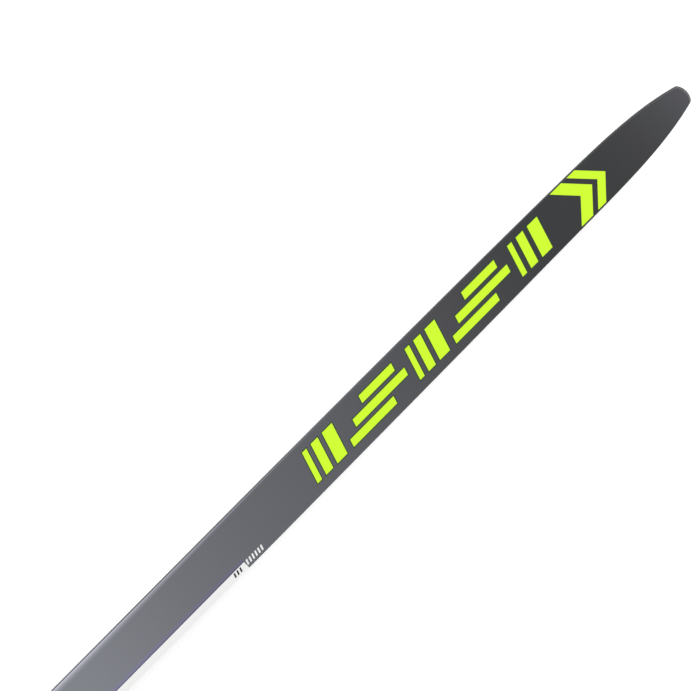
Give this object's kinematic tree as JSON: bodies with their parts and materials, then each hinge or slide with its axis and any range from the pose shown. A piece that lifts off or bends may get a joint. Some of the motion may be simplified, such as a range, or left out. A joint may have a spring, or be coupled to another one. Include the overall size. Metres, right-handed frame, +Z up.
{
  "type": "cross-country ski",
  "caption": "Cross-country skating ski with a graphite-grey top, neon graphics, white side strip, and a turn-lock toe binding and heel plate on rails.",
  "frame": {"origin": "middle of the ski's length and width, on the floor the unloaded ski stands on", "axes": "+X along the ski towards its tip, +Y to its left, +Z up"},
  "size_m": [1.86, 0.044, 0.075],
  "materials": {
    "base": "satin",
    "laminate": "satin",
    "top": "satin",
    "sidewall": "satin",
    "filler": "matte",
    "protector": "satin",
    "spruce": "matte",
    "beech": "matte",
    "rail": "matte",
    "housing": "matte",
    "accent": "satin",
    "rubber": "matte",
    "steel": "satin"
  },
  "bodies": {
    "ski": {"base_sheet": "base", "lower_laminate": "laminate", "upper_laminate": "laminate", "top_sheet": "top", "sidewall_left": "sidewall", "sidewall_right": "sidewall", "core_stringer_left": "spruce", "core_stringer_right": "spruce", "core_stringer_centre": "spruce", "core_insert_left": "beech", "core_insert_right": "beech", "core_front": "spruce", "core_rear": "spruce", "tip_filler": "filler", "tail_filler": "filler", "tail_protector": "protector", "front_rail": "rail", "rear_rail": "rail"},
    "toe_unit": {"toe_sled": "housing", "hook": "steel", "flexor": "rubber", "nose": "housing", "lever_pin": "steel", "hook_screw_left": "steel", "hook_screw_right": "steel", "nose_screw_left": "steel", "nose_screw_right": "steel"},
    "lock_dial": {"crank": "steel", "dial": "accent", "dial_screw": "steel"},
    "lock_slider": {"slider": "steel"},
    "clamp_lever": {"lever": "accent"},
    "heel_unit": {"heel_sled": "housing", "heel_pad": "rubber"}
  },
  "joints": [
    {"name": "toe_slide", "type": "slide", "parent": "ski", "child": "toe_unit", "axis": [1, 0, 0], "range_m": [-0.018, 0.018]},
    {"name": "heel_slide", "type": "slide", "parent": "ski", "child": "heel_unit", "axis": [1, 0, 0], "range_m": [-0.012, 0.012]},
    {"name": "dial_turn", "type": "hinge", "parent": "toe_unit", "child": "lock_dial", "pos_m": [0.006, 0, 0.07], "axis": [0, 0, 1], "range_deg": [-90, 0]},
    {"name": "slider_shift", "type": "slide", "parent": "toe_unit", "child": "lock_slider", "axis": [1, 0, 0], "range_m": [0, 0.00707]},
    {"name": "lever_lift", "type": "hinge", "parent": "toe_unit", "child": "clamp_lever", "pos_m": [0.032, 0, 0.058], "axis": [0, -1, 0], "range_deg": [0, 50]}
  ],
  "couplings": [
    {"joint": "dial_turn", "follows": "slider_shift", "rad_per_m": -222.14}
  ]
}
